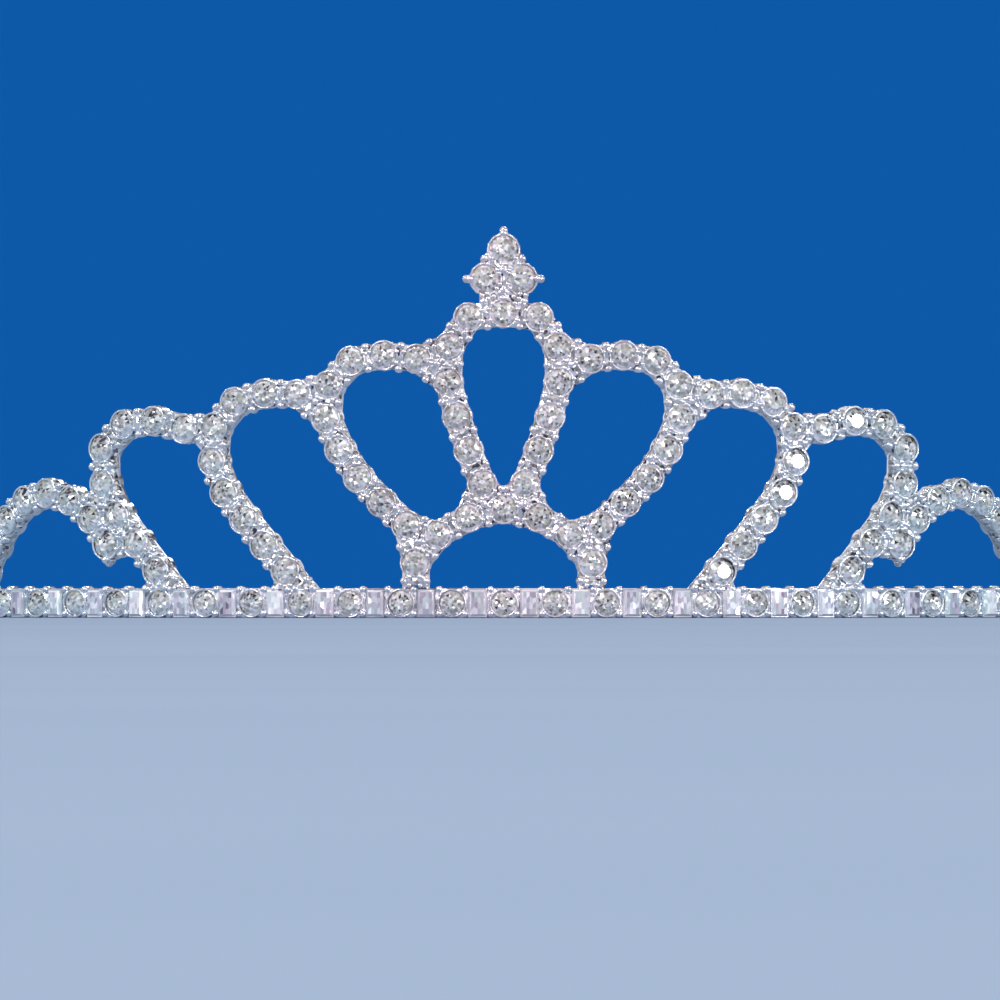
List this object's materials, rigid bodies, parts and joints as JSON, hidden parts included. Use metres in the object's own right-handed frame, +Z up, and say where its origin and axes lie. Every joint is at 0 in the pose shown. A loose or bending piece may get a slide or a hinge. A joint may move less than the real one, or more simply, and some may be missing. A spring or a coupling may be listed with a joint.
{
  "type": "rhinestone crown",
  "caption": "Tiara-style crown: a springy wire head ring whose front carries a jewelled band and a wall of looped strands of cut stones rising to a trefoil peak.",
  "frame": {"origin": "middle of the crown's box on the surface that it stands on", "axes": "+Z up, the jewelled front faces -Y, the legs run back along +Y, +X is on the right of someone who looks at the front"},
  "size_m": [0.1486, 0.1634, 0.0435],
  "materials": {
    "silver_metal": "bright silver-coloured plating on cast and soldered metal",
    "crystal": "clear cut glass with a foil back",
    "baguette_crystal": "clear step-cut glass with a foil back"
  },
  "bodies": {
    "root": {"crown_frame": "silver_metal", "peak_stone_top": "crystal", "peak_stone_left": "crystal", "peak_stone_right": "crystal", "end_stone_left": "crystal", "end_stone_right": "crystal", "centre_loop_stones": "crystal", "low_arch_stones": "crystal", "inner_loop_stones_left": "crystal", "inner_loop_stones_right": "crystal", "middle_loop_stones_left": "crystal", "middle_loop_stones_right": "crystal", "outer_loop_stones_left": "crystal", "outer_loop_stones_right": "crystal", "end_arch_stones_left": "crystal", "end_arch_stones_right": "crystal", "band_round_stones": "crystal", "band_baguettes": "baguette_crystal"}
  },
  "joints": []
}
